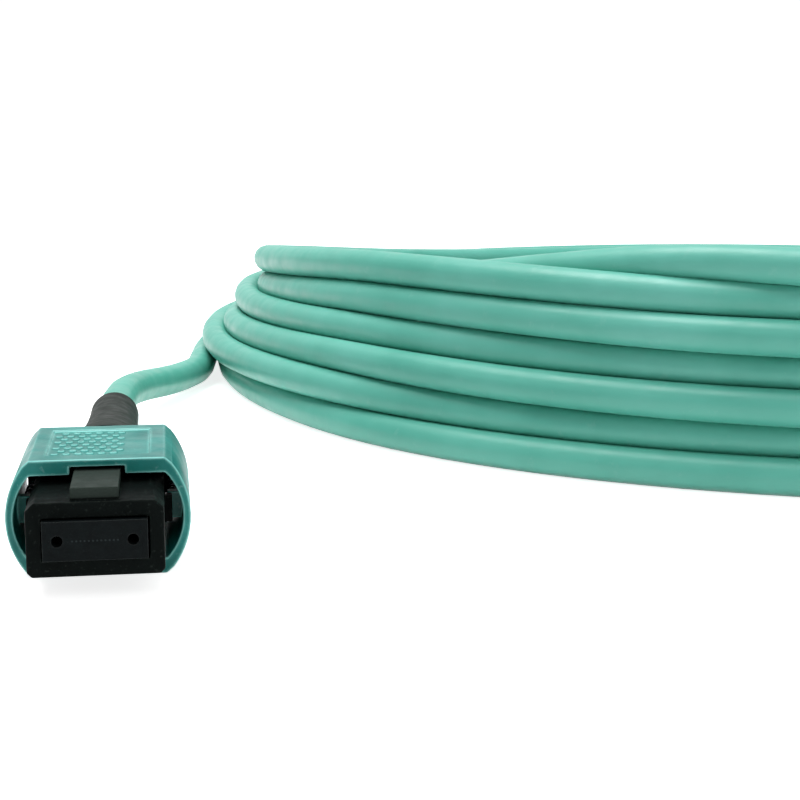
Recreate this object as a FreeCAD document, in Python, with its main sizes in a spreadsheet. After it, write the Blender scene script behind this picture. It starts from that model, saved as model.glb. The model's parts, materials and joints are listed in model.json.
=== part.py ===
"""A female 12-fibre MPO connector on its coiled 3 mm cable, with the same connector on the far end.

Frame: millimetres, +Z up. The near connector lies along Y with its mating face towards -Y. The origin
is at the bottom centre of the near connector without its cable. Every connector is drawn on its own
axis first, with Y = 0 at the front face of the plug housing, and is then placed.
"""
import FreeCAD, Part
import math
import os

import Sketcher

Vector = FreeCAD.Vector
ALONG_Y = FreeCAD.Rotation(Vector(1, 0, 0), -90)
UPRIGHT = FreeCAD.Rotation()

SIZES = {
    # mating face and plug housing
    "plug_width": 8.4, "plug_height": 4.7, "plug_length": 16.0,
    "plug_top_chamfer": 0.55, "plug_bottom_chamfer": 0.3,
    "key_width": 2.95, "key_height": 0.8, "key_setback": 0.4, "key_length": 7.0,
    "guide_start": 8.8, "guide_clearance": 0.1, "cavity_roof": 0.6,
    "window_back": 4.8, "window_length": 1.4, "window_height": 2.8,
    "stop_length": 0.8, "stop_width": 0.5, "stop_height": 1.8, "stop_gap": 0.3,
    "ear_back": 1.4, "ear_length": 0.8, "ear_side_gap": 0.2, "ear_height": 1.6,
    # ferrule
    "ferrule_width": 6.4, "ferrule_height": 2.5, "ferrule_length": 8.0, "face_proud": 0.4,
    "shoulder_start": 3.2, "shoulder_width": 7.2, "shoulder_height": 3.0,
    "hole_pitch": 4.6, "hole_diameter": 0.7,
    "glue_window_width": 3.2, "glue_window_length": 2.2, "glue_window_depth": 0.9,
    "slot_width": 3.6, "slot_height": 1.1, "slot_depth": 3.0,
    "ribbon_width": 3.0, "ribbon_thickness": 0.32, "ribbon_tail": 4.6,
    "clamp_length": 2.0, "clamp_opening_height": 1.4, "ferrule_play": 0.08,
    "ferrule_travel": 0.8,
    # springs
    "spring_wire": 0.36, "spring_radius": 1.85, "spring_turns": 4.0, "spring_end_gap": 0.02,
    "side_spring_wire": 0.18, "side_spring_play": 0.15, "side_spring_turns": 5.0,
    # rear body
    "insert_length": 2.4, "insert_play": 0.1, "flange_length": 1.2, "bore_diameter": 3.3,
    "post_diameter": 4.4, "post_length": 4.4,
    "arm_thickness": 0.8, "arm_height": 2.6, "arm_length": 2.8, "hook_reach": 0.3, "hook_length": 1.0,
    # yarn, crimp ring, cable and boot
    "yarn_thickness": 0.16, "ring_wall": 0.3, "neck_length": 2.6, "neck_wall": 0.35,
    "taper_length": 0.9, "crimp_gap": 0.03,
    "cable_diameter": 3.0, "boot_length": 22.0, "boot_base_wall": 0.67, "boot_tip_wall": 0.45,
    "collar_length": 1.4, "collar_step": 0.25, "boot_curve_radius": 150.0, "boot_play": 0.06,
    "boot_lip_chamfer": 0.3,
    # coupling sleeve
    "side_channel": 1.2, "sleeve_height": 7.7, "sleeve_front": 5.2, "sleeve_overhang": 0.2,
    "corner_inset": 1.6, "side_bulge": 1.15, "sleeve_shoulder_drop": 0.4,
    "top_wall": 1.0, "side_wall": 0.5, "inner_bulge": 1.1,
    "panel_side_inset": 1.0, "panel_front_inset": 1.5, "panel_rear_inset": 1.3, "panel_depth": 0.12,
    "notch_side_gap": 0.28, "notch_top_gap": 0.22, "notch_end_gap": 0.4,
    "ledge_length": 0.8, "ledge_height": 1.8, "ledge_gap": 0.18, "sleeve_travel": 2.0,
    "rib_width": 0.35, "rib_depth": 0.16, "rib_height": 4.4, "rib_inset": 1.6,
    # coil
    "coil_outer_radius": 72.5, "coil_inner_radius": 57.5,
    "coil_near_height": 22.0, "coil_far_height": 11.0,
    "coil_centre_right": 79.5, "coil_centre_back": 64.5,
}
RIB_COUNT = 9
SPRING_STATIONS = 10
MITRED = 1

doc = FreeCAD.newDocument("mpo_connector")
sheet = doc.addObject("Spreadsheet::Sheet", "sizes")


class Size:
    """A length that keeps both its number and the spreadsheet formula it comes from."""

    def __init__(self, value, text):
        self.value = value
        self.text = text

    def __add__(self, other):
        other = as_size(other)
        return Size(self.value + other.value, f"({self.text} + {other.text})")

    def __sub__(self, other):
        other = as_size(other)
        return Size(self.value - other.value, f"({self.text} - {other.text})")

    def __mul__(self, other):
        other = as_size(other)
        return Size(self.value * other.value, f"({self.text} * {other.text})")

    def __truediv__(self, other):
        other = as_size(other)
        return Size(self.value / other.value, f"({self.text} / {other.text})")

    def __neg__(self):
        return Size(-self.value, f"(0 - {self.text})")

    __radd__ = __add__
    __rmul__ = __mul__


def as_size(amount):
    return amount if isinstance(amount, Size) else Size(float(amount), repr(float(amount)))


class Sizes:
    """The driving dimensions, one spreadsheet cell each."""

    def __init__(self, table):
        for row, (name, value) in enumerate(table.items(), start=1):
            sheet.set(f"A{row}", name)
            sheet.set(f"B{row}", str(value))
            sheet.setAlias(f"B{row}", name)
            setattr(self, name, Size(value, f"sizes.{name}"))


s = Sizes(SIZES)
doc.recompute()

# Distances that several pieces share, all worked out from the driving sizes.
plug_bottom = s.plug_height / 2
guide_height = s.sleeve_height - s.top_wall * 2 - s.guide_clearance * 2
cavity_width = s.shoulder_width + s.ferrule_play * 2
cavity_height = guide_height - s.cavity_roof * 2
window_start = s.plug_length - s.window_back
ear_start = s.plug_length - s.ear_back
ferrule_front = -s.face_proud
ferrule_rear = ferrule_front + s.ferrule_length
clamp_rear = ferrule_rear + s.clamp_length
seat_start = s.plug_length - s.insert_length
insert_width = cavity_width - s.insert_play * 2
insert_height = cavity_height - s.insert_play * 2
clamp_width = insert_width - (s.arm_thickness + s.insert_play) * 2
ear_reach = s.side_channel - s.ear_side_gap
flange_rear = s.plug_length + s.flange_length
post_rear = flange_rear + s.post_length
yarn_diameter = s.post_diameter + (s.yarn_thickness + s.crimp_gap) * 2
ring_inner = yarn_diameter + s.crimp_gap * 2
ring_outer = ring_inner + s.ring_wall * 2
neck_outer = s.cable_diameter + (s.crimp_gap + s.neck_wall) * 2
ring_front = flange_rear + s.crimp_gap
ring_rear = post_rear + s.crimp_gap
neck_front = ring_rear + s.taper_length
ring_end = neck_front + s.neck_length
lead_front = post_rear + s.crimp_gap
stop_front = s.guide_start - s.stop_length - s.stop_gap - s.ledge_length
ledge_front = s.guide_start - s.ledge_length
ledge_rear = s.guide_start
side_spring_x = (s.plug_width + s.side_channel) / 2
side_spring_radius = s.side_channel / 2 - s.side_spring_play - s.side_spring_wire / 2
sleeve_width = s.plug_width + (s.side_channel + s.side_wall) * 2
sleeve_rear = s.plug_length + s.sleeve_overhang
sleeve_length = sleeve_rear - s.sleeve_front
boot_front = sleeve_rear + s.sleeve_travel + s.stop_gap
boot_end = boot_front + s.boot_length
axis_height = s.sleeve_height / 2
part_middle = (boot_end + ferrule_front) / 2


def bind(thing, name, amount):
    """Ties one property of a document object to its formula."""
    thing.setExpression(name, as_size(amount).text)


def put(thing, x, y, z, turn=UPRIGHT):
    thing.Placement = FreeCAD.Placement(Vector(0, 0, 0), turn)
    bind(thing, "Placement.Base.x", x)
    bind(thing, "Placement.Base.y", y)
    bind(thing, "Placement.Base.z", z)
    return thing


def block(name, width, front, rear, height, x=0, z=0):
    """A box centred on x and z that runs from front to rear along Y."""
    box = doc.addObject("Part::Box", name)
    bind(box, "Length", width)
    bind(box, "Width", rear - front)
    bind(box, "Height", height)
    return put(box, as_size(x) - as_size(width) / 2, front, as_size(z) - as_size(height) / 2)


def rod(name, diameter, front, rear, x=0, z=0):
    """A round bar along Y."""
    bar = doc.addObject("Part::Cylinder", name)
    bind(bar, "Radius", diameter / 2)
    bind(bar, "Height", rear - front)
    return put(bar, x, front, z, ALONG_Y)


def taper(name, front_diameter, rear_diameter, front, rear):
    cone = doc.addObject("Part::Cone", name)
    bind(cone, "Radius1", front_diameter / 2)
    bind(cone, "Radius2", rear_diameter / 2)
    bind(cone, "Height", rear - front)
    return put(cone, 0, front, 0, ALONG_Y)


def join(name, pieces):
    union = doc.addObject("Part::MultiFuse", name)
    union.Shapes = pieces
    union.Refine = True
    return union


def carve(name, base, tools):
    """Takes one tool, or several joined ones, away from a base."""
    cut = doc.addObject("Part::Cut", name)
    cut.Base = base
    cut.Tool = tools[0] if len(tools) == 1 else join(name + "_tools", tools)
    return cut


def origin_plane(body, role):
    return [item for item in body.Origin.OriginFeatures if item.Role == role][0]


def outline(body, name, plane, corners, arcs=(), mirrored=False):
    """A closed sketch through corners (across, up), each tied to the sheet.

    arcs maps the index of a side to its radius and to how far it swells outwards. A mirrored outline
    lists only the corners right of the vertical axis, from the top down.
    """
    sketch = body.newObject("Sketcher::SketchObject", name)
    sketch.AttachmentSupport = (origin_plane(body, plane), [""])
    sketch.MapMode = "FlatFace"
    arcs = dict(arcs)
    points = [(as_size(across), as_size(up)) for across, up in corners]
    if mirrored:
        last = len(points) - 1
        points += [(-across, up) for across, up in reversed(points)]
        arcs.update({2 * last - side: shape for side, shape in list(arcs.items())})
    flat = [Vector(across.value, up.value, 0) for across, up in points]
    count = len(points)
    for side in range(count):
        start, end = flat[side], flat[(side + 1) % count]
        if side in arcs:
            swell = arcs[side][1].value
            outward = Vector(start.y - end.y, end.x - start.x, 0).normalize()
            middle = (start + end) * 0.5 + outward * swell
            sketch.addGeometry(Part.Arc(start, middle, end), False)
        else:
            sketch.addGeometry(Part.LineSegment(start, end), False)
    ends = []
    for side in range(count):
        # A sketch counts an arc's ends anticlockwise, so one drawn clockwise starts at its end 2.
        clockwise = side in arcs and sketch.Geometry[side].Axis.z < 0
        ends.append((2, 1) if clockwise else (1, 2))
    for side in range(count):
        following = (side + 1) % count
        sketch.addConstraint(Sketcher.Constraint("Coincident", side, ends[side][1],
                                                 following, ends[following][0]))
        across, up = points[side]
        for kind, amount in (("DistanceX", across), ("DistanceY", up)):
            index = sketch.addConstraint(Sketcher.Constraint(kind, -1, 1, side, ends[side][0],
                                                             amount.value))
            sketch.setExpression(f"Constraints[{index}]", amount.text)
        if side in arcs:
            radius = arcs[side][0]
            index = sketch.addConstraint(Sketcher.Constraint("Radius", side, radius.value))
            sketch.setExpression(f"Constraints[{index}]", radius.text)
    return sketch


def bulge_radius(swell, half_height):
    """The radius of an arc that rises by swell over a chord of twice half_height."""
    return (half_height * half_height + swell * swell) / (swell * 2)


def extrude_back(body, kind, name, sketch, front, length):
    """Pads or pockets a sketch of the XZ plane towards +Y, starting at front."""
    sketch.AttachmentOffset = FreeCAD.Placement()
    bind(sketch, "AttachmentOffset.Base.z", -front)
    feature = body.newObject(f"PartDesign::{kind}", name)
    feature.Profile = sketch
    feature.Reversed = kind == "Pad"
    bind(feature, "Length", length)
    doc.recompute()
    return feature


def coil_spring(name, wire, radius, front, rear, turns, x=0):
    """A compression spring along Y between two faces, as a six-sided wire mitred round its turns.

    The wire's section has the area of the real round one, and few faces, because six such springs
    lie hidden in the part.
    """
    reach = wire.value / 2 + s.spring_end_gap.value
    count = int(turns.value * SPRING_STATIONS)
    advance = (rear.value - front.value - reach * 2) / count
    stations = []
    for index in range(count + 1):
        angle = index * 2 * math.pi / SPRING_STATIONS
        spoke = Vector(math.cos(angle), 0, math.sin(angle)) * radius.value
        stations.append(spoke + Vector(0, advance * index, 0))
    heading = (stations[1] - stations[0]).normalize()
    outward = Vector(1, 0, 0)
    outward = (outward - heading * outward.dot(heading)).normalize()
    across = heading.cross(outward)
    corner = wire.value / 2 * math.sqrt(math.pi / 3 / math.sin(math.pi / 3))
    hexagon = [stations[0] + outward * (corner * math.cos(side * math.pi / 3))
               + across * (corner * math.sin(side * math.pi / 3)) for side in range(7)]
    coil = Part.makePolygon(stations).makePipeShell([Part.makePolygon(hexagon)], True, False, MITRED)
    coil.translate(Vector(as_size(x).value, front.value + reach, 0))
    spring = doc.addObject("Part::Feature", name)
    spring.Shape = coil
    return spring


def make_ferrule(prefix):
    name = prefix + "ferrule"
    front_block = block(name + "_front", s.ferrule_width, ferrule_front, s.shoulder_start, s.ferrule_height)
    shoulder = block(name + "_shoulder", s.shoulder_width, s.shoulder_start, ferrule_rear, s.shoulder_height)
    holes = [rod(f"{name}_hole_{index}", s.hole_diameter, ferrule_front - 1, ferrule_rear + 1,
                 x=s.hole_pitch * side / 2) for index, side in enumerate((-1, 1))]
    slot = block(name + "_slot", s.slot_width, ferrule_rear - s.slot_depth, ferrule_rear + 1, s.slot_height)
    window = block(name + "_window", s.glue_window_width, ferrule_rear - s.slot_depth - s.glue_window_length,
                   ferrule_rear - s.slot_depth, s.glue_window_depth,
                   z=s.shoulder_height / 2 - s.glue_window_depth / 2)
    return carve(name, join(name + "_body", [front_block, shoulder]), holes + [slot, window])


def make_ribbon(prefix):
    name = prefix + "fibre_ribbon"
    return block(name, s.ribbon_width, ferrule_rear - s.slot_depth + s.crimp_gap,
                 s.plug_length + s.ribbon_tail, s.ribbon_thickness)


def make_ferrule_boot(prefix):
    name = prefix + "ferrule_boot"
    play = s.crimp_gap * 2
    body = block(name + "_body", s.slot_width - play, ferrule_rear - s.slot_depth + s.crimp_gap,
                 ferrule_rear, s.slot_height - play)
    nose = block(name + "_nose", s.slot_width - play * 3, ferrule_rear, clamp_rear - s.crimp_gap,
                 s.slot_height - play * 2)
    channel = block(name + "_channel", s.ribbon_width + s.crimp_gap, s.shoulder_start, clamp_rear + 1,
                    s.ribbon_thickness + s.crimp_gap)
    return carve(name, join(name + "_solid", [body, nose]), [channel])


def make_pin_clamp(prefix):
    name = prefix + "pin_clamp"
    plate = block(name + "_plate", clamp_width, ferrule_rear, clamp_rear, s.shoulder_height)
    opening = block(name + "_opening", s.slot_width, ferrule_rear - 1, clamp_rear + 1,
                    s.clamp_opening_height)
    waists = [block(f"{name}_waist_{index}", s.ring_wall * 2, ferrule_rear - 1,
                    clamp_rear - s.clamp_length / 2, s.shoulder_height + 1,
                    x=(clamp_width / 2) * side) for index, side in enumerate((-1, 1))]
    return carve(name, plate, [opening] + waists)


def make_inner_housing(prefix):
    """The plug: a chamfered nose with its key, a taller guide block, and the stepped cavity."""
    name = prefix + "inner_housing"
    body = doc.addObject("PartDesign::Body", name + "_nose")
    half = s.plug_width / 2
    corners = [(half - s.plug_top_chamfer, plug_bottom), (half, plug_bottom - s.plug_top_chamfer),
               (half, -(plug_bottom - s.plug_bottom_chamfer)), (half - s.plug_bottom_chamfer, -plug_bottom)]
    section = outline(body, name + "_section", "XZ_Plane", corners, mirrored=True)
    extrude_back(body, "Pad", name + "_pad", section, as_size(0), s.plug_length)
    guide = block(name + "_guide", s.plug_width, s.guide_start, s.plug_length, guide_height)
    key = block(name + "_key", s.key_width, s.key_setback, s.key_setback + s.key_length,
                s.key_height + s.cavity_roof, z=plug_bottom + (s.key_height - s.cavity_roof) / 2)
    additions = [body, guide, key]
    for index, side in enumerate((-1, 1)):
        wall = s.plug_width / 2
        additions.append(block(f"{name}_stop_{index}", s.stop_width * 2, stop_front,
                               stop_front + s.stop_length, s.stop_height, x=wall * side))
        additions.append(block(f"{name}_ear_{index}", ear_reach * 2, ear_start,
                               ear_start + s.ear_length, s.ear_height, x=wall * side))
    play = s.ferrule_play * 2
    mouth = block(name + "_mouth", s.ferrule_width + play, as_size(-1), s.shoulder_start,
                  s.ferrule_height + play)
    middle = block(name + "_middle", cavity_width, s.shoulder_start, s.plug_length,
                   s.shoulder_height + play)
    rear = block(name + "_rear", cavity_width, s.guide_start + s.cavity_roof, s.plug_length + 1,
                 cavity_height)
    windows = block(name + "_windows", s.plug_width + 1, window_start,
                    window_start + s.window_length, s.window_height)
    return carve(name, join(name + "_solid", additions), [mouth, middle, rear, windows])


def make_rear_body(prefix):
    """Spring seat, latch arms that hook into the housing's windows, flange and crimp post."""
    name = prefix + "rear_body"
    insert = block(name + "_insert", insert_width, seat_start, s.plug_length, insert_height)
    flange = block(name + "_flange", s.plug_width, s.plug_length, flange_rear, guide_height)
    post = rod(name + "_post", s.post_diameter, flange_rear, post_rear)
    pieces = [insert, flange, post]
    hook_front = window_start + s.insert_play
    for index, side in enumerate((-1, 1)):
        middle = (insert_width - s.arm_thickness) / 2
        pieces.append(block(f"{name}_arm_{index}", s.arm_thickness, seat_start - s.arm_length,
                            seat_start, s.arm_height, x=middle * side))
        pieces.append(block(f"{name}_hook_{index}", s.hook_reach * 2, hook_front,
                            hook_front + s.hook_length, s.arm_height - s.insert_play * 2,
                            x=(insert_width / 2) * side))
    bore = rod(name + "_bore", s.bore_diameter, seat_start - 1, post_rear + 1)
    grooves = [carve(f"{name}_groove_{index}",
                     rod(f"{name}_groove_outer_{index}", s.post_diameter + 1, start,
                         start + s.yarn_thickness * 2),
                     [rod(f"{name}_groove_core_{index}", s.post_diameter - s.yarn_thickness, start - 1,
                          start + 1)])
               for index, start in enumerate(flange_rear + s.post_length * share / 4 for share in (1, 2, 3))]
    return carve(name, join(name + "_solid", pieces), [bore] + grooves)


def make_yarn(prefix):
    name = prefix + "yarn_sleeve"
    inner = s.post_diameter + s.crimp_gap * 2
    return carve(name, rod(name + "_outer", yarn_diameter, ring_front, post_rear),
                 [rod(name + "_inner", inner, ring_front - 1, post_rear + 1)])


def make_crimp_ring(prefix):
    name = prefix + "crimp_ring"
    barrel = rod(name + "_barrel", ring_outer, ring_front, ring_rear)
    cone = taper(name + "_cone", ring_outer, neck_outer, ring_rear, neck_front)
    neck = rod(name + "_neck", neck_outer, neck_front, ring_end)
    hollow = rod(name + "_hollow", ring_inner, ring_front - 1, ring_rear)
    bore = rod(name + "_bore", s.cable_diameter + s.crimp_gap * 2, ring_front, ring_end + 1)
    return carve(name, join(name + "_solid", [barrel, cone, neck]), [hollow, bore])


def make_lead(prefix):
    name = prefix + "cable_lead"
    return rod(name, s.cable_diameter, lead_front, boot_end)


def make_boot(prefix):
    """A turned, softly waisted boot: collar, long hollow taper and a chamfered lip round the cable."""
    name = prefix + "strain_boot"
    body = doc.addObject("PartDesign::Body", name)
    seat = ring_outer / 2 + s.boot_play
    base = seat + s.boot_base_wall
    neck = neck_outer / 2 + s.boot_play
    bore = s.cable_diameter / 2 + s.boot_play
    tip = bore + s.boot_tip_wall
    collar_end = boot_front + s.collar_length
    corners = [(seat, boot_front), (base, boot_front), (base, collar_end),
               (base - s.collar_step, collar_end),
               (tip, boot_end - s.boot_lip_chamfer), (tip - s.boot_lip_chamfer, boot_end),
               (bore, boot_end), (bore, ring_end + s.boot_play), (neck, ring_end + s.boot_play),
               (neck, neck_front), (seat, ring_rear)]
    arcs = {3: (s.boot_curve_radius, s.collar_step)}
    section = outline(body, name + "_section", "XY_Plane", corners, arcs)
    turned = body.newObject("PartDesign::Revolution", name + "_turned")
    turned.Profile = section
    turned.ReferenceAxis = (section, ["V_Axis"])
    turned.Angle = 360
    doc.recompute()
    return body


def make_coupling_sleeve(prefix):
    """The sleeve: a barrel section with bulging sides, key notch, spring ledges and grip ribs."""
    name = prefix + "coupling_sleeve"
    body = doc.addObject("PartDesign::Body", name + "_barrel")
    half_height = s.sleeve_height / 2
    shoulder = half_height - s.sleeve_shoulder_drop
    half_width = sleeve_width / 2
    corners = [(half_width - s.corner_inset, half_height), (half_width - s.side_bulge, shoulder),
               (half_width - s.side_bulge, -shoulder), (half_width - s.corner_inset, -half_height)]
    section = outline(body, name + "_section", "XZ_Plane", corners,
                      {1: (bulge_radius(s.side_bulge, shoulder), s.side_bulge)}, mirrored=True)
    extrude_back(body, "Pad", name + "_pad", section, s.sleeve_front, sleeve_length)

    inner_half = half_height - s.top_wall
    inner_side = half_width - s.side_wall - s.inner_bulge
    opening = outline(body, name + "_opening", "XZ_Plane",
                      [(inner_side, inner_half), (inner_side, -inner_half)],
                      {0: (bulge_radius(s.inner_bulge, inner_half), s.inner_bulge)}, mirrored=True)
    extrude_back(body, "Pocket", name + "_hollow", opening, s.sleeve_front, sleeve_length)

    notch_roof = plug_bottom + s.key_height + s.notch_top_gap
    notch = block(name + "_notch", s.key_width + s.notch_side_gap * 2, s.sleeve_front - 1,
                  s.key_setback + s.key_length + s.notch_end_gap, notch_roof, z=notch_roof / 2)
    tools = [notch]
    for index, side in enumerate((-1, 1)):
        tools.append(block(f"{name}_panel_{index}", sleeve_width - (s.corner_inset + s.panel_side_inset) * 2,
                           s.sleeve_front + s.panel_front_inset, sleeve_rear - s.panel_rear_inset,
                           s.panel_depth * 2, z=half_height * side))
    rib_span = sleeve_length - s.rib_inset * 2
    for index in range(RIB_COUNT):
        middle = s.sleeve_front + s.rib_inset + rib_span * index / (RIB_COUNT - 1)
        for side in (-1, 1):
            tools.append(block(f"{name}_rib_{index}_{(side + 1) // 2}", s.rib_depth * 2,
                               middle - s.rib_width / 2, middle + s.rib_width / 2, s.rib_height,
                               x=(sleeve_width / 2) * side))
    shell = carve(name + "_shell", body, tools)

    ledge_inner = s.plug_width / 2 + s.ledge_gap
    ledge_outer = sleeve_width / 2 - s.side_wall / 2
    ledges = [block(f"{name}_ledge_{index}", ledge_outer - ledge_inner, ledge_front, ledge_rear,
                    s.ledge_height, x=(ledge_outer + ledge_inner) / 2 * side)
              for index, side in enumerate((-1, 1))]
    return join(name, [shell] + ledges)


def make_connector(prefix):
    """All pieces of one connector, on its own axis, by node name."""
    pieces = {
        "ferrule": make_ferrule(prefix),
        "fibre_ribbon": make_ribbon(prefix),
        "ferrule_boot": make_ferrule_boot(prefix),
        "pin_clamp": make_pin_clamp(prefix),
        "ferrule_spring": coil_spring(prefix + "ferrule_spring", s.spring_wire, s.spring_radius,
                                      clamp_rear, seat_start, s.spring_turns),
        "inner_housing": make_inner_housing(prefix),
        "rear_body": make_rear_body(prefix),
        "yarn_sleeve": make_yarn(prefix),
        "crimp_ring": make_crimp_ring(prefix),
        "coupling_sleeve": make_coupling_sleeve(prefix),
        "strain_boot": make_boot(prefix),
        "cable_lead": make_lead(prefix),
    }
    for side, name in ((-1, "coupling_spring_left"), (1, "coupling_spring_right")):
        pieces[name] = coil_spring(prefix + name, s.side_spring_wire, side_spring_radius,
                                   ledge_rear, ear_start, s.side_spring_turns,
                                   x=side_spring_x * side)
    return {prefix + name: piece for name, piece in pieces.items()}


def cable_tube(name, points, diameter):
    """A round cable along straight runs joined by tangent arcs, each as large as its two runs allow."""
    def disc(middle, heading):
        return Part.Face(Part.Wire(Part.makeCircle(diameter / 2, middle, heading)))

    pieces = []
    length = 0
    start = points[0]
    for before, corner, after in zip(points, points[1:], points[2:]):
        arriving = corner - before
        leaving = after - corner
        turn = arriving.getAngle(leaving)
        trim = 0.45 * min(arriving.Length, leaving.Length)
        radius = trim / math.tan(turn / 2)
        print(f"cable bend radius {radius:.1f} mm")
        arriving.normalize()
        leaving.normalize()
        first = corner - arriving * trim
        inward = (leaving - arriving).normalize()
        centre = corner + inward * (radius / math.cos(turn / 2))
        pieces.append(disc(start, arriving).extrude(first - start))
        pieces.append(disc(first, arriving).revolve(centre, arriving.cross(leaving), math.degrees(turn)))
        length += (first - start).Length + radius * turn
        start = corner + leaving * trim
    pieces.append(disc(start, points[-1] - start).extrude(points[-1] - start))
    length += (points[-1] - start).Length
    tube = pieces[0].multiFuse(pieces[1:]).removeSplitter()
    ideal = math.pi * diameter * diameter / 4 * length
    print(f"{name}: length {length:.1f} mm, volume ratio {tube.Volume / ideal:.4f}")
    cable = doc.addObject("Part::Feature", name)
    cable.Shape = tube
    return cable


def make_coil():
    """The outer shape of the coiled cable: a ring whose top slopes down to the far side."""
    ring = carve("cable_coil_ring", put_ring("cable_coil_outer", s.coil_outer_radius, 0, s.coil_near_height),
                 [put_ring("cable_coil_inner", s.coil_inner_radius, -1, s.coil_near_height + 2)])
    slope = doc.addObject("Part::Wedge", "cable_coil_slope")
    reach = s.coil_outer_radius + 1
    for end, amount in (("Xmin", -reach), ("X2min", -reach), ("Xmax", reach), ("X2max", reach),
                        ("Ymin", as_size(0)), ("Ymax", s.coil_outer_radius * 2),
                        ("Zmin", s.coil_near_height), ("Z2min", s.coil_far_height),
                        ("Zmax", s.coil_near_height + 1), ("Z2max", s.coil_near_height + 1)):
        bind(slope, end, amount)
    put(slope, s.coil_centre_right, s.coil_centre_back - s.coil_outer_radius, 0)
    return carve("cable_coil", ring, [slope])


def put_ring(name, radius, bottom, height):
    disc = doc.addObject("Part::Cylinder", name)
    bind(disc, "Radius", radius)
    bind(disc, "Height", height)
    return put(disc, s.coil_centre_right, s.coil_centre_back, bottom)


# The near connector stands on the ground with its middle at the origin. The far one lies to the right of
# the coil and points the same way, so that nothing stands in front of either mating face.
FAR_BOOT_TIP = Vector(160, 32, 0)
near_front = -part_middle.value
near_place = FreeCAD.Placement(Vector(0, near_front, axis_height.value), UPRIGHT)
far_front = FAR_BOOT_TIP.y - boot_end.value
far_place = FreeCAD.Placement(Vector(FAR_BOOT_TIP.x, far_front, axis_height.value), UPRIGHT)

nodes = {}
for prefix, place in (("", near_place), ("far_", far_place)):
    pieces = make_connector(prefix)
    doc.recompute()
    for name, piece in pieces.items():
        for path, _ in list(piece.ExpressionEngine):
            if "Placement" in path:
                piece.setExpression(path, None)
        piece.Placement = place.multiply(piece.Placement)
        nodes[name] = piece

tail_start = Vector(0, near_front + boot_end.value, axis_height.value)
nodes["cable_tail"] = cable_tube("cable_tail", [
    tail_start,
    tail_start + Vector(0, 8.5, 0),
    Vector(1.5, 38.2, 3.2),
    Vector(5, 47.3, 2.2),
    Vector(7.9, 56.6, 1.7)], s.cable_diameter.value)
far_tip = Vector(FAR_BOOT_TIP.x, FAR_BOOT_TIP.y, axis_height.value)
nodes["far_cable_tail"] = cable_tube("far_cable_tail", [
    far_tip,
    far_tip + Vector(0, 10, 0),
    Vector(158.5, 54, 2.6),
    Vector(154.9, 66, 1.8),
    Vector(151, 76, 1.7)], s.cable_diameter.value)
nodes["cable_coil"] = make_coil()

doc.recompute()
for item in doc.Objects:
    for state in item.State:
        if state in ("Invalid", "Error"):
            raise RuntimeError(f"{item.Name} is {state}")

os.makedirs("parts", exist_ok=True)
for name, piece in nodes.items():
    piece.Label = name
    shape = piece.Shape
    if shape.isNull() or not shape.isValid() or not shape.Solids:
        raise RuntimeError(f"{name} has no valid solid")
    shape.exportStep(f"parts/{name}.step")
print(len(nodes), "nodes")
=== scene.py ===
import itertools
import json
import math

import bmesh
import bpy
import numpy as np
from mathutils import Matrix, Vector


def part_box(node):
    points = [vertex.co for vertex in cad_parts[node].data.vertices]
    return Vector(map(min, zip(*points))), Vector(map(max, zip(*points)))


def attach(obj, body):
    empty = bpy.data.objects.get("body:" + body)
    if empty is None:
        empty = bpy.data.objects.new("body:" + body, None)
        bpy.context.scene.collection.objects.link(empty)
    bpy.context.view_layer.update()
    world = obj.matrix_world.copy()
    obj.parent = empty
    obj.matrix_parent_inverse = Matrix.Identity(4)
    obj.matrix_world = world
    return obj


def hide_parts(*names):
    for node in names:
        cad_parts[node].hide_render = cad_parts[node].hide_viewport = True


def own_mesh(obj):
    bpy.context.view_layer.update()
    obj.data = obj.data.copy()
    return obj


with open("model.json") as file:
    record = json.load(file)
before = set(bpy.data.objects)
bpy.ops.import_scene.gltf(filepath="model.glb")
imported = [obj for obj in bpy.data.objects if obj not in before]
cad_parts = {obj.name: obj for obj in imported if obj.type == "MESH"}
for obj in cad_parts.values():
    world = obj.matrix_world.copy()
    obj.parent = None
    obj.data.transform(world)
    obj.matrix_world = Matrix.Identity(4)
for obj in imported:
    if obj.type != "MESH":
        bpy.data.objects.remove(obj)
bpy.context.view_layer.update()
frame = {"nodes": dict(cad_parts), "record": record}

MM = 0.001
nodes = frame["nodes"]

# ---------------------------------------------------------------- camera
LENS = 72
SENSOR = 36
EYE = Vector((4.8, -116.5, 29.9)) * MM
YAW = math.radians(8.28)
PITCH = math.radians(10.41)


def make_camera():
    """A long lens in front of the mating face, a little above it and turned to its right."""
    data = bpy.data.cameras.new("camera")
    data.lens = LENS
    data.sensor_width = SENSOR
    data.clip_start = 0.005
    camera = bpy.data.objects.new("camera", data)
    bpy.context.collection.objects.link(camera)
    camera.location = EYE
    camera.rotation_euler = (math.pi / 2 - PITCH, 0, -YAW)
    bpy.context.scene.camera = camera


make_camera()

# ---------------------------------------------------------------- cable
CABLE = 3.0 * MM
HALF = CABLE / 2
COIL_CENTRE = Vector((79.5, 64.5, 0)) * MM
COIL_OUTER = 72.5 * MM
COIL_DEPTH = 4.6            # columns from the coil's outside to its innermost turn
STEPS = 36                  # stations round one turn
SETTLE_STEPS = 160
PULL_STEPS = 120            # steps in which the turns are still drawn to their places
PULL = 0.05                 # share of the way to its place that a turn goes in one step
SMOOTHING = 0.15
SPACING = 0.99 * CABLE      # between two turns that touch; soft jackets press together a little

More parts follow.
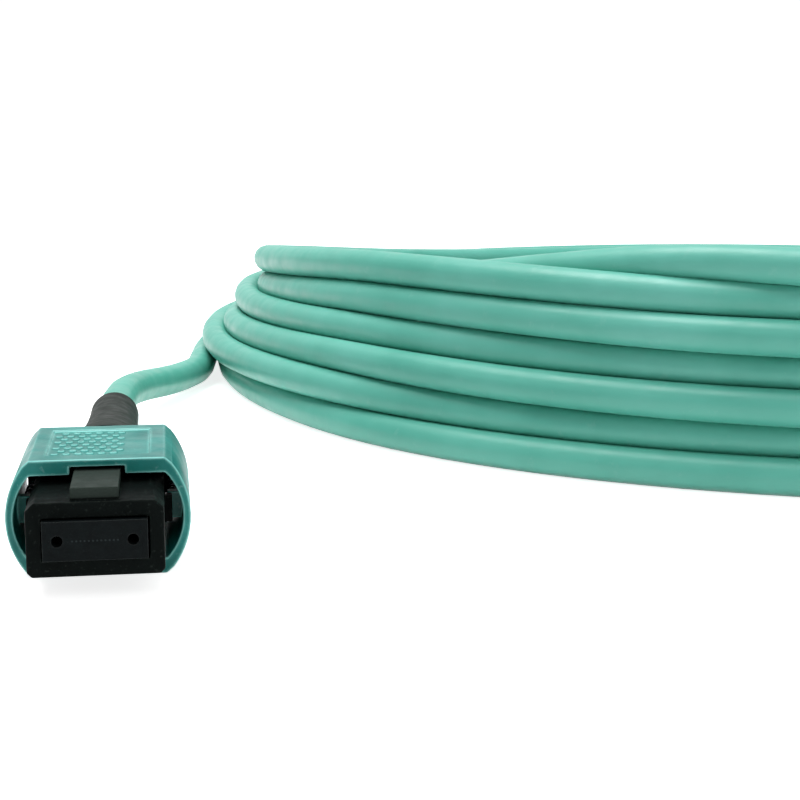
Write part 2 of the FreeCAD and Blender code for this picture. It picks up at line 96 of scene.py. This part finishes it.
# The cable's points in mm, from the near connector to the coil and from the coil to the far connector.
TAIL = [(0, 20.45, 3.85), (0, 28.95, 3.85), (1.5, 38.2, 3.2), (5, 47.3, 2.2), (7.9, 56.6, 1.7)]
FAR_TAIL = [(153.6, 74, 1.7), (154.9, 66, 1.8), (158.5, 54, 2.6), (160, 42, 3.85), (160, 32, 3.85)]

# The place of each turn in the pile as (columns inwards, layers up): at the left end, where the cable
# comes in, then clockwise at the far side, at the right end, at the near side and at the corner between
# that and the left end. SHARES are the parts of a turn, from the left end on, where those sections lie,
# and PHASE is the part of the first turn that the cable's tail takes up.
SHARES = (0, 0.2, 0.5, 0.8, 0.93, 1)
SECTIONS = len(SHARES) - 1
PHASE = 0.03
LEFT = [(0, 0), (1.0, 0), (0.45, 0.9), (1.2, 1.6), (1.9, 2.35), (2.6, 3.1), (2.6, 4.15),
        (3.5, 3.55), (3.4, 2.5), (2.0, 0.85), (2.75, 1.7)]
FAR = [(0, 0), (1.0, 0), (0.5, 0.87), (1.5, 0.87), (1.0, 1.74), (2.5, 0.87), (2.0, 1.74),
       (3.5, 0.87), (3.0, 0), (2.0, 0), (4.0, 0)]
RIGHT = FAR[:-1]
NEAR = [(0, 0), (0.7, 0.8), (0.05, 1.72), (0.5, 2.6), (0.1, 3.5), (0.5, 4.38), (0.15, 5.28),
        (0.5, 6.16), (1.5, 0.35), (1.1, 1.75)]
CORNER = [(0, 0), (0.4, 0.92), (0.6, 1.9), (0.9, 2.82), (1.2, 3.72), (1.6, 4.58), (2.35, 3.95),
          (2.6, 3.15), (1.5, 1.2), (1.9, 2.3)]

# The end of the last turn, which climbs over the low far side of the pile and comes down outside it, as
# (degrees, columns inwards, layers up).
OVER = [(80, 4.0, 0.5), (70, 3.7, 1.6), (60, 3.0, 2.75), (50, 2.0, 3.0), (40, 1.0, 2.95),
        (30, 0, 2.6), (22, -0.9, 1.6), (16, -1.0, 0.6)]


def smooth_between(keys, at):
    """Catmull-Rom through evenly spaced keys."""
    last = len(keys) - 1
    first = min(int(at), last - 1)
    share = at - first
    before, start, end, after = (np.array(keys[min(max(first + step, 0), last)])
                                 for step in (-1, 0, 1, 2))
    return 0.5 * (2 * start + (end - before) * share
                  + (2 * before - 5 * start + 4 * end - after) * share ** 2
                  + (3 * start - before - 3 * end + after) * share ** 3)


def settle(pile, target):
    """Lets the turns of the pile rest on each other without lying in each other, station by station."""
    turns = len(pile) // STEPS + 1
    outermost = COIL_OUTER - HALF
    for step in range(SETTLE_STEPS):
        if step < PULL_STEPS:
            pile += (target - pile) * PULL
            pile[1:-1] += SMOOTHING * (0.5 * (pile[:-2] + pile[2:]) - pile[1:-1])
        for lower in range(turns):
            for upper in range(lower + 1, turns):
                count = min(STEPS, len(pile) - upper * STEPS)
                if count <= 0:
                    continue
                a = pile[lower * STEPS:lower * STEPS + count]
                b = pile[upper * STEPS:upper * STEPS + count]
                apart = b - a
                distance = np.maximum(np.linalg.norm(apart, axis=1), 1e-9)
                push = np.maximum(SPACING - distance, 0) / distance * 0.5
                a -= apart * push[:, None]
                b += apart * push[:, None]
        pile[:, 1] = np.maximum(pile[:, 1], HALF)
        pile[:, 0] = np.clip(pile[:, 0], outermost - COIL_DEPTH * CABLE, outermost)
    return pile


def pile_place(column, layer):
    """A place in the pile as (distance from the coil's axis, height)."""
    return COIL_OUTER - HALF - column * CABLE, HALF + layer * CABLE


def coil_points():
    """The coil's turns, settled on each other, and the cable's way out over them."""
    turns = itertools.zip_longest(LEFT, FAR, RIGHT, NEAR, CORNER)
    keys = [key for turn in turns for key in turn if key is not None]
    pile = []
    for index in range(int((len(LEFT) - 1 + SHARES[1] - PHASE) * STEPS) + 1):
        turn, share = divmod(index / STEPS + PHASE, 1)
        section = turn * SECTIONS + np.interp(share, SHARES, range(SECTIONS + 1))
        pile.append(pile_place(*smooth_between(keys, section)))
    pile = np.array(pile)
    pile = settle(pile.copy(), pile)
    stations = [(math.pi - index * 2 * math.pi / STEPS, *place) for index, place in enumerate(pile)]
    stations += [(math.radians(degrees), *pile_place(column, layer)) for degrees, column, layer in OVER]
    return [COIL_CENTRE + Vector((radius * math.cos(angle), radius * math.sin(angle), height))
            for angle, radius, height in stations]


def round_line(name, points, half):
    """A round cable or wire along one smooth curve. The curve's bevel is one metre deep and each point
    scales it down, because a curve's bound box reaches as far past its points as they scale."""
    curve = bpy.data.curves.new(name, "CURVE")
    curve.dimensions = "3D"
    curve.bevel_depth = 1
    curve.bevel_resolution = 5
    curve.resolution_u = 4
    curve.use_fill_caps = True
    spline = curve.splines.new("NURBS")
    spline.points.add(len(points) - 1)
    for place, point in zip(spline.points, points):
        place.co = (*point, 1)
        place.radius = half
    spline.order_u = 3
    spline.use_endpoint_u = True
    piece = bpy.data.objects.new(name, curve)
    bpy.context.collection.objects.link(piece)
    return piece


route = [Vector(point) * MM for point in TAIL] + coil_points()
route += [Vector(point) * MM for point in FAR_TAIL]
cable = round_line("cable", route, HALF)
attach(cable, "housing")
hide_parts("cable_tail", "cable_coil", "far_cable_tail")

# ---------------------------------------------------------------- springs
STATIONS = 14       # control points round one turn of wire
END_TURN = 0.8      # the part of a turn that lies nearly flat at each end
FERRULE_WIRE = 0.36 * MM
FERRULE_TURNS = 5
SLEEVE_WIRE = 0.18 * MM
SLEEVE_TURNS = 6


def wound_spring(node, wire, turns):
    """A round-wire compression spring in place of its CAD node."""
    low, high = (Vector(corner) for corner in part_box(node))
    middle = (low + high) / 2
    radius = (high.x - low.x - wire) / 2
    points = []
    for index in range(turns * STATIONS + 1):
        turn = index / STATIONS
        rise = np.interp(turn, (0, END_TURN, turns - END_TURN, turns),
                         (low.y + wire / 2, low.y + wire, high.y - wire, high.y - wire / 2))
        angle = turn * 2 * math.pi
        points.append(Vector((middle.x + radius * math.cos(angle), rise,
                              middle.z + radius * math.sin(angle))))
    line = round_line(node + "_line", points, wire / 2)
    line.data.bevel_resolution = 3
    line.data.resolution_u = 3
    mesh = bpy.data.meshes.new_from_object(line)
    mesh.shade_smooth()
    bpy.data.objects.remove(line)
    mesh.materials.clear()
    spring = bpy.data.objects.new(node + "_wire", mesh)
    bpy.context.collection.objects.link(spring)
    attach(spring, "housing")
    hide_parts(node)
    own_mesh(spring)
    return spring


springs = []
for end in ("", "far_"):
    springs.append(wound_spring(end + "ferrule_spring",
                                FERRULE_WIRE, FERRULE_TURNS))
    for side in ("left", "right"):
        springs.append(wound_spring(f"{end}coupling_spring_{side}",
                                    SLEEVE_WIRE, SLEEVE_TURNS))

# ---------------------------------------------------------------- grip studs
PANEL_DEPTH = 0.12 * MM
# The studs' sizes, in mm, with each stud's rings as (radius, height above the panel).
STUD = ((0.29, -0.03), (0.27, 0.04), (0.2, 0.08), (0.09, 0.1))
STUD_SIDES = 12
STUD_ROWS = 8
STUD_COLUMNS = 6
ROW_PITCH = 0.95
COLUMN_PITCH = 0.76
ROW_STAGGER = 0.38
FIRST_COLUMN = 3.7          # column pitches from the sleeve's middle to the first column
REAR_SHIFT = 0.1            # of the whole patch, which isn't quite in the sleeve's middle


def stud(shape, centre, up):
    """One low stud in a bmesh, built ring by ring from its foot to its top."""
    rings = []
    for radius, height in STUD:
        ring = []
        for side in range(STUD_SIDES):
            angle = side * 2 * math.pi / STUD_SIDES * up
            spoke = Vector((radius * math.cos(angle), radius * math.sin(angle), height * up))
            ring.append(shape.verts.new(centre + spoke * MM))
        rings.append(ring)
    for lower, upper in zip(rings, rings[1:]):
        for side in range(STUD_SIDES):
            after = (side + 1) % STUD_SIDES
            shape.faces.new((lower[side], lower[after], upper[after], upper[side]))
    shape.faces.new(rings[-1])
    shape.faces.new(rings[0][::-1])


def grip_studs(end):
    """Rows of low studs moulded in the sleeve's two sunk panels, which stop short of a smooth patch."""
    low, high = (Vector(corner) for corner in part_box(end + "coupling_sleeve"))
    middle = (low + high) / 2
    shape = bmesh.new()
    for floor, up in ((high.z - PANEL_DEPTH, 1), (low.z + PANEL_DEPTH, -1)):
        for row in range(STUD_ROWS):
            for column in range(STUD_COLUMNS):
                across = COLUMN_PITCH * (column - FIRST_COLUMN) + ROW_STAGGER * (row % 2)
                along = REAR_SHIFT + ROW_PITCH * (row - (STUD_ROWS - 1) / 2)
                stud(shape, Vector((middle.x + across * MM, middle.y + along * MM, floor)), up)
    mesh = bpy.data.meshes.new(end + "grip_studs")
    shape.to_mesh(mesh)
    shape.free()
    mesh.shade_smooth()
    patch = bpy.data.objects.new(end + "grip_studs", mesh)
    bpy.context.collection.objects.link(patch)
    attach(patch, end + "coupling")
    return patch


studs = [grip_studs(""), grip_studs("far_")]

# ---------------------------------------------------------------- the far connector's pieces
far_end = [piece for name, piece in nodes.items()
           if name.startswith("far_") and "spring" not in name and name != "far_cable_tail"]
far_end += [spring for spring in springs if spring.name.startswith("far_")]
far_end.append(studs[1])

# ---------------------------------------------------------------- materials
KEY_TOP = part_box("inner_housing")[1][2]
PER_MM = 1000.0             # from the shaders' metres to mm
FIBRE_PITCH = 0.25          # this and the rest of the fibre row in mm
FIBRE_RADIUS = 0.0625
FIBRES_HALF = 1.5           # half the length of the row of twelve
FIBRE_HEIGHT = 3.85
ROW_SHIFT = 72.125          # puts the pitch's turning points on the fibres
FAR_MIDDLE = 160.0          # how far right the far ferrule lies


def linear(red, green, blue):
    """An sRGB colour, 0 to 255, as the linear colour that a shader takes."""
    return [((part / 255 + 0.055) / 1.055) ** 2.4 if part > 10 else part / 255 / 12.92
            for part in (red, green, blue)] + [1]


class Surface:
    """A material with short ways to build up colour, roughness and bump from noise at real scale."""

    def __init__(self, name):
        self.material = bpy.data.materials.new(name)
        self.material.use_nodes = True
        self.tree = self.material.node_tree
        self.shader = self.tree.nodes["Principled BSDF"]
        self.place = self.tree.nodes.new("ShaderNodeTexCoord").outputs["Object"]
        self.last_bump = None

    def link(self, source, socket):
        self.tree.links.new(source, socket)

    def set(self, **values):
        """Numbers that are the same all over, on the shader's own sockets."""
        for name, value in values.items():
            self.shader.inputs[name.replace("_", " ")].default_value = value

    def scaled(self, factors):
        """The object's own coordinates, stretched along each axis."""
        mapping = self.tree.nodes.new("ShaderNodeMapping")
        mapping.inputs["Scale"].default_value = factors
        self.link(self.place, mapping.inputs["Vector"])
        return mapping.outputs["Vector"]

    def noise(self, grain_mm, detail=3.0, stretch=(1, 1, 1), roughness=0.55):
        """Noise whose blotches are about grain_mm wide."""
        node = self.tree.nodes.new("ShaderNodeTexNoise")
        node.inputs["Scale"].default_value = PER_MM / grain_mm
        node.inputs["Detail"].default_value = detail
        node.inputs["Roughness"].default_value = roughness
        self.link(self.scaled(stretch), node.inputs["Vector"])
        return node.outputs["Fac"]

    def ramp(self, source, stops):
        """Colours, or greys given as one number, at places along a value."""
        node = self.tree.nodes.new("ShaderNodeValToRGB")
        elements = node.color_ramp.elements
        while len(elements) < len(stops):
            elements.new(0.5)
        for element, (at, colour) in zip(elements, stops):
            element.position = at
            element.color = colour if isinstance(colour, list) else (colour, colour, colour, 1)
        self.link(source, node.inputs["Fac"])
        return node.outputs["Color"]

    def math(self, operation, first, second=0.0, third=None):
        """One sum or test on values or plain numbers."""
        node = self.tree.nodes.new("ShaderNodeMath")
        node.operation = operation
        for socket, value in zip(node.inputs, (first, second, third)):
            if value is None:
                continue
            if isinstance(value, (int, float)):
                socket.default_value = value
            else:
                self.link(value, socket)
        return node.outputs[0]

    def mix(self, amount, first, second):
        """The first colour, with the second over it by an amount from 0 to 1."""
        node = self.tree.nodes.new("ShaderNodeMix")
        node.data_type = "RGBA"
        sockets = {socket.identifier: socket for socket in node.inputs}
        for key, value in (("Factor_Float", amount), ("A_Color", first), ("B_Color", second)):
            if isinstance(value, (int, float, list)):
                sockets[key].default_value = value
            else:
                self.link(value, sockets[key])
        return {socket.identifier: socket for socket in node.outputs}["Result_Color"]

    def axis(self, name):
        """The object's own X, Y or Z, in metres."""
        node = self.tree.nodes.new("ShaderNodeSeparateXYZ")
        self.link(self.place, node.inputs[0])
        return node.outputs[name]

    def normal(self, name):
        """The X, Y or Z of each face's own normal. The bodies only slide, so world axes will do."""
        node = self.tree.nodes.new("ShaderNodeSeparateXYZ")
        self.link(self.tree.nodes.new("ShaderNodeNewGeometry").outputs["True Normal"], node.inputs[0])
        return node.outputs[name]

    def edges(self, width_mm, full=0.86, none=0.995):
        """1 on edges, 0 on flat faces, from the cosine by which a rounded normal turns away."""
        bevel = self.tree.nodes.new("ShaderNodeBevel")
        bevel.samples = 6
        bevel.inputs["Radius"].default_value = width_mm * MM
        normal = self.tree.nodes.new("ShaderNodeNewGeometry")
        dot = self.tree.nodes.new("ShaderNodeVectorMath")
        dot.operation = "DOT_PRODUCT"
        self.link(bevel.outputs[0], dot.inputs[0])
        self.link(normal.outputs["Normal"], dot.inputs[1])
        return self.ramp(dot.outputs["Value"], [(full, 1.0), (none, 0.0)])

    def colour(self, source):
        self.link(source, self.shader.inputs["Base Color"])

    def rough(self, source, low, high):
        """Roughness between two values, by a noise."""
        self.link(self.ramp(source, [(0.3, low), (0.7, high)]), self.shader.inputs["Roughness"])

    def bump(self, source, depth_mm):
        """Relief of a depth, over any that the material has already."""
        node = self.tree.nodes.new("ShaderNodeBump")
        node.inputs["Distance"].default_value = depth_mm * MM
        node.inputs["Strength"].default_value = 1.0
        self.link(source, node.inputs["Height"])
        if self.last_bump is not None:
            self.link(self.last_bump, node.inputs["Normal"])
        self.last_bump = node.outputs["Normal"]
        self.link(self.last_bump, self.shader.inputs["Normal"])


def jacket_aqua():
    """Extruded jacket: satin, a little cloudy, with faint scuffs."""
    s = Surface("jacket_aqua")
    cloudy = s.noise(9.0, 3.0)
    base = s.ramp(cloudy, [(0.3, linear(85, 174, 156)), (0.5, linear(95, 183, 165)),
                           (0.72, linear(105, 189, 173))])
    scuff = s.ramp(s.noise(1.6, 6.0, roughness=0.7), [(0.6, 0.0), (0.75, 1.0)])
    s.colour(s.mix(s.math("MULTIPLY", scuff, 0.22), base, linear(152, 203, 194)))
    s.rough(s.noise(2.2, 4.0), 0.34, 0.52)
    s.bump(s.noise(0.45, 3.0), 0.012)
    s.bump(s.noise(3.5, 2.0), 0.05)
    s.set(Specular_IOR_Level=0.45)
    return s.material


def sleeve_aqua(name, edge_wear_and_highlight):
    """Moulded sleeve: satin teal, paler along its edges, partly from wear and partly from a painted
    highlight, with a painted highlight along the front and rear rims, and a fine spark-eroded grain.
    """
    s = Surface(name)
    base = s.ramp(s.noise(4.0, 4.0), [(0.32, linear(4, 114, 108)), (0.5, linear(11, 128, 121)),
                                      (0.7, linear(28, 146, 138))])
    patchy = s.ramp(s.noise(0.9, 5.0), [(0.35, 0.4), (0.65, 1.0)])
    # Pale edges: partly wear, partly a painted highlight along the edges that catch the light.
    worn = s.math("MULTIPLY", s.edges(0.3, 0.94, 0.998), patchy)
    base = s.mix(s.math("MULTIPLY", worn, edge_wear_and_highlight), base, linear(140, 222, 214))
    # Painted highlight: a pale line on the bevels that face partly forward or back, along the front and
    # rear rims.
    rim_highlight = s.ramp(s.math("ABSOLUTE", s.normal("Y")),
                 [(0.2, 0.0), (0.35, 1.0), (0.94, 1.0), (0.98, 0.0)])
    base = s.mix(s.math("MULTIPLY", rim_highlight, 0.75), base, linear(150, 230, 222))
    dust = s.ramp(s.noise(0.35, 2.0), [(0.64, 0.0), (0.74, 1.0)])
    s.colour(s.mix(s.math("MULTIPLY", dust, 0.2), base, linear(165, 214, 209)))
    s.rough(s.noise(1.4, 4.0), 0.3, 0.45)
    s.bump(s.noise(0.16, 2.0), 0.012)
    s.bump(s.noise(1.1, 3.0), 0.02)
    s.set(Specular_IOR_Level=0.3)
    return s.material


def housing_black():
    """Black moulding: matt grain, greyed edges that are partly wear and partly a painted highlight,
    fine scratches, and a painted highlight that makes the top of the key paler.
    """
    s = Surface("housing_black")
    base = s.ramp(s.noise(2.6, 4.0), [(0.3, linear(7, 11, 10)), (0.7, linear(11, 17, 16))])
    patchy = s.ramp(s.noise(0.6, 5.0), [(0.4, 0.2), (0.65, 1.0)])
    # Greyed edges: partly wear, partly a painted highlight on the edges.
    worn = s.math("MULTIPLY", s.edges(0.16), patchy)
    base = s.mix(s.math("MULTIPLY", worn, 0.3), base, linear(80, 92, 86))
    # Painted highlight: everything higher than about 0.7 mm below the key's top is painted paler, as if
    # lit from above.
    below_top = s.math("MULTIPLY_ADD", s.axis("Z"), 1 / MM, 1 - KEY_TOP / MM)
    key = s.ramp(below_top, [(0.3, 0.0), (0.4, 1.0)])
    base = s.mix(s.math("MULTIPLY", key, 0.75), base, linear(58, 68, 63))
    scratch = s.ramp(s.noise(0.25, 3.0, stretch=(1, 0.08, 1)), [(0.62, 0.0), (0.72, 1.0)])
    s.colour(s.mix(s.math("MULTIPLY", scratch, 0.12), base, linear(86, 98, 92)))
    s.rough(s.noise(0.8, 4.0), 0.38, 0.58)
    s.bump(s.noise(0.12, 2.0), 0.012)
    s.set(Specular_IOR_Level=0.03)
    return s.material


def ferrule_polymer():
    """Filled ferrule polymer, polished at its face, with the row of twelve fibre ends."""
    s = Surface("ferrule_polymer")
    base = s.ramp(s.noise(0.7, 5.0), [(0.3, linear(12, 16, 17)), (0.7, linear(18, 24, 25))])
    speckle = s.ramp(s.noise(0.07, 2.0), [(0.62, 0.0), (0.72, 1.0)])
    base = s.mix(s.math("MULTIPLY", speckle, 0.2), base, linear(64, 70, 70))
    right = s.math("MULTIPLY", s.axis("X"), PER_MM)
    across = s.math("PINGPONG", s.math("ADD", right, ROW_SHIFT), FIBRE_PITCH / 2)
    up = s.math("SUBTRACT", s.math("MULTIPLY", s.axis("Z"), PER_MM), FIBRE_HEIGHT)
    away = s.math("SQRT", s.math("ADD", s.math("MULTIPLY", across, across), s.math("MULTIPLY", up, up)))
    in_row = s.math("LESS_THAN", s.math("PINGPONG", right, FAR_MIDDLE / 2), FIBRES_HALF)
    fibre = s.math("MULTIPLY", s.math("LESS_THAN", away, FIBRE_RADIUS), in_row)
    worn = s.math("MULTIPLY", s.edges(0.08), 0.35)
    base = s.mix(worn, base, linear(110, 116, 114))
    s.colour(s.mix(s.math("MULTIPLY", fibre, 0.18), base, linear(90, 100, 102)))
    s.rough(s.noise(0.5, 4.0), 0.3, 0.5)
    s.bump(s.noise(0.08, 2.0), 0.006)
    s.set(Specular_IOR_Level=0.04)
    return s.material


def boot_grey():
    """Soft grey rubber with a patchy bloom."""
    s = Surface("boot_grey")
    base = s.ramp(s.noise(3.0, 4.0), [(0.3, linear(28, 34, 31)), (0.7, linear(42, 50, 46))])
    bloom = s.ramp(s.noise(0.5, 5.0), [(0.55, 0.0), (0.75, 1.0)])
    s.colour(s.mix(s.math("MULTIPLY", bloom, 0.25), base, linear(84, 95, 90)))
    s.rough(s.noise(1.0, 3.0), 0.55, 0.78)
    s.bump(s.noise(0.14, 2.0), 0.014)
    s.set(Specular_IOR_Level=0.2)
    return s.material


def soft_boot():
    """Dark soft rubber of the ferrule's boot."""
    s = Surface("soft_boot")
    s.colour(s.ramp(s.noise(1.2, 4.0), [(0.3, linear(38, 39, 41)), (0.7, linear(56, 58, 60))]))
    s.rough(s.noise(0.6, 3.0), 0.5, 0.75)
    s.bump(s.noise(0.1, 2.0), 0.01)
    return s.material


def clamp_polymer():
    """Plain grey moulding, paler on its edges."""
    s = Surface("clamp_polymer")
    base = s.ramp(s.noise(1.0, 4.0), [(0.3, linear(72, 76, 78)), (0.7, linear(96, 100, 102))])
    s.colour(s.mix(s.math("MULTIPLY", s.edges(0.08), 0.5), base, linear(150, 154, 155)))
    s.rough(s.noise(0.5, 3.0), 0.35, 0.55)
    s.bump(s.noise(0.1, 2.0), 0.008)
    return s.material


def fibre_ribbon():
    """A flat ribbon of twelve coloured fibres under a clear matrix, with painted shade in the seams
    between the fibres and painted light on their crowns.
    """
    s = Surface("fibre_ribbon")
    stripe = s.math("PINGPONG", s.math("MULTIPLY", s.axis("X"), PER_MM), FIBRE_PITCH / 2)
    # Painted shade: each fibre is painted dark at its seams with the next and pale along its crown.
    painted_fibre_shade = s.ramp(s.math("MULTIPLY", stripe, 2 / FIBRE_PITCH),
                   [(0.1, linear(60, 132, 140)), (0.8, linear(150, 205, 208))])
    s.colour(s.mix(s.math("MULTIPLY", s.noise(1.5, 3.0), 0.3), painted_fibre_shade, linear(210, 226, 220)))
    s.rough(s.noise(0.8, 3.0), 0.2, 0.35)
    s.bump(stripe, 0.05)
    return s.material


def aramid_yarn():
    """Long yellow filaments along the cable."""
    s = Surface("aramid_yarn")
    strands = s.noise(0.22, 4.0, stretch=(1, 0.06, 1))
    s.colour(s.ramp(strands, [(0.3, linear(150, 122, 44)), (0.5, linear(214, 184, 92)),
                              (0.7, linear(238, 217, 140))]))
    s.rough(s.noise(0.4, 3.0), 0.4, 0.6)
    s.bump(strands, 0.04)
    return s.material


def drawn_metal(name, dark, light, low, high):
    """Bright metal with fine drawing lines."""
    s = Surface(name)
    lines = s.noise(0.12, 5.0, stretch=(1, 0.15, 1))
    s.colour(s.ramp(lines, [(0.3, dark), (0.7, light)]))
    s.rough(s.noise(0.6, 4.0), low, high)
    s.bump(lines, 0.006)
    s.set(Metallic=1.0)
    return s.material


FINISHES = {
    "jacket_aqua": jacket_aqua(),
    "sleeve_aqua": sleeve_aqua("sleeve_aqua", 0.75),
    "housing_black": housing_black(),
    "ferrule_polymer": ferrule_polymer(),
    "boot_grey": boot_grey(),
    "soft_boot": soft_boot(),
    "clamp_polymer": clamp_polymer(),
    "fibre_ribbon": fibre_ribbon(),
    "aramid_yarn": aramid_yarn(),
    "spring_steel": drawn_metal("spring_steel", linear(70, 72, 75), linear(112, 114, 118), 0.3, 0.45),
    "crimp_metal": drawn_metal("crimp_metal", linear(150, 150, 146), linear(190, 188, 182), 0.26, 0.42),
}
# The studs take a smaller share of the pale edges, partly wear and partly a painted highlight, and the
# same painted highlight on their front and rear rims.
STUD_FINISH = sleeve_aqua("stud_aqua", 0.45)

# Widths in mm of the small rounding on the moulded nodes' edges.
BEVELS = {"coupling_sleeve": 0.09, "inner_housing": 0.08, "ferrule": 0.03, "rear_body": 0.06,
          "pin_clamp": 0.05}
SHARP = math.radians(35)
FLAT = math.radians(0.5)
WELD = 1e-6


def dress_nodes():
    """Gives each CAD node its slot's finish, and the moulded ones soft edges."""
    slots = {part["node"]: part["material_slot"] for part in frame["record"]["subparts"]}
    for name, piece in nodes.items():
        finish = FINISHES[slots[name]]
        piece.data.materials.clear()
        piece.data.materials.append(finish)
        width = BEVELS.get(name.removeprefix("far_"))
        if width:
            weld = piece.modifiers.new("weld", "WELD")
            weld.merge_threshold = WELD
            flats = piece.modifiers.new("flats", "DECIMATE")
            flats.decimate_type = "DISSOLVE"
            flats.angle_limit = FLAT
            bevel = piece.modifiers.new("bevel", "BEVEL")
            bevel.width = width * MM
            bevel.segments = 2
            bevel.limit_method = "ANGLE"
            bevel.angle_limit = SHARP
            bevel.harden_normals = True
            # The clamp would go by the sleeve's shortest edges and leave it no rounding.
            bevel.use_clamp_overlap = "sleeve" not in name


dress_nodes()
cable.data.materials.append(FINISHES["jacket_aqua"])
for spring in springs:
    spring.data.materials.append(FINISHES["spring_steel"])
for patch in studs:
    patch.data.materials.append(STUD_FINISH)

# ---------------------------------------------------------------- floor, light and world
AMBIENT = 0.3       # what the white world gives as light; the camera sees it at full white
ENTRY = 0.8         # what the white floor and backdrop add for the camera, so that they stay white
ROOM = 3            # metres from the middle to the backdrop, and the backdrop's height
LIT = Vector((0.03, 0, 0))
LAMPS = (("key", (-0.08, 0.12, 0.6), 4.2, 0.4),     # name, place, watts, width
         ("fill", (0.35, -0.5, 0.45), 1.0, 0.5))


def white_ground():
    """Plain white, whose own light is seen only directly and in gloss; it still takes the shadow."""
    s = Surface("ground")
    s.set(Roughness=0.9, Specular_IOR_Level=0.0)
    s.colour(s.ramp(s.noise(60.0, 2.0), [(0.3, linear(236, 236, 236)), (0.7, linear(240, 240, 240))]))
    rays = s.tree.nodes.new("ShaderNodeLightPath")
    seen = s.math("MAXIMUM", rays.outputs["Is Camera Ray"],
                  s.math("MAXIMUM", rays.outputs["Is Glossy Ray"], rays.outputs["Is Transmission Ray"]))
    s.shader.inputs["Emission Color"].default_value = (1, 1, 1, 1)
    s.link(s.math("MULTIPLY", seen, ENTRY), s.shader.inputs["Emission Strength"])
    return s.material


def make_stage():
    """Floor and backdrop, the white world, and two soft lamps."""
    mesh = bpy.data.meshes.new("floor")
    room = ((-1, -1, 0), (1, -1, 0), (1, 1, 0), (-1, 1, 0), (1, 1, 1), (-1, 1, 1))
    mesh.from_pydata([[part * ROOM for part in corner] for corner in room], [],
                     [(0, 1, 2, 3), (3, 2, 4, 5)])
    floor = bpy.data.objects.new("floor", mesh)
    bpy.context.collection.objects.link(floor)
    mesh.materials.append(white_ground())
    world = bpy.data.worlds.new("world")
    bpy.context.scene.world = world
    world.use_nodes = True
    sky = world.node_tree.nodes["Background"]
    sky.inputs["Color"].default_value = (1, 1, 1, 1)
    rays = world.node_tree.nodes.new("ShaderNodeLightPath")
    strength = world.node_tree.nodes.new("ShaderNodeMapRange")
    strength.inputs["To Min"].default_value = AMBIENT
    world.node_tree.links.new(rays.outputs["Is Camera Ray"], strength.inputs["Value"])
    world.node_tree.links.new(strength.outputs["Result"], sky.inputs["Strength"])
    for name, place, power, width in LAMPS:
        data = bpy.data.lights.new(name, "AREA")
        data.energy = power
        data.size = width
        lamp = bpy.data.objects.new(name, data)
        bpy.context.collection.objects.link(lamp)
        lamp.location = place
        lamp.rotation_euler = (Vector(place) - LIT).to_track_quat("Z", "Y").to_euler()


make_stage()
bpy.context.scene.view_settings.view_transform = "Standard"
bpy.context.view_layer.update()
